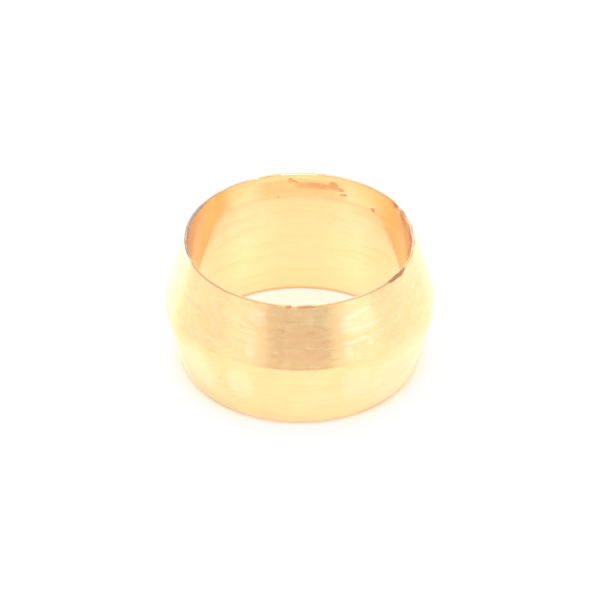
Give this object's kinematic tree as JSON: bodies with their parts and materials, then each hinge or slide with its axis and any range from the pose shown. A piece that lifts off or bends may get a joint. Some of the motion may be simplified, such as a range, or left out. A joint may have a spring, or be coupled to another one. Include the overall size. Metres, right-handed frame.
{
  "type": "compression ring",
  "caption": "Turned brass compression ring: a plain bore for a tube, a nose cone with a thin tip, a narrow band at the widest point and a tail cone.",
  "frame": {"origin": "centre of the tail face, on the tube's axis, where the ring stands", "axes": "+Z along the tube's axis, from the tail face towards the tip of the nose cone"},
  "size_m": [0.012, 0.012, 0.0064],
  "materials": {
    "turned_brass": "bright turned brass with fine rings from the tool, small nicks on the tip of the nose and slightly darker stains inside the bore"
  },
  "bodies": {
    "root": {"compression_ring": "turned_brass"}
  },
  "joints": []
}
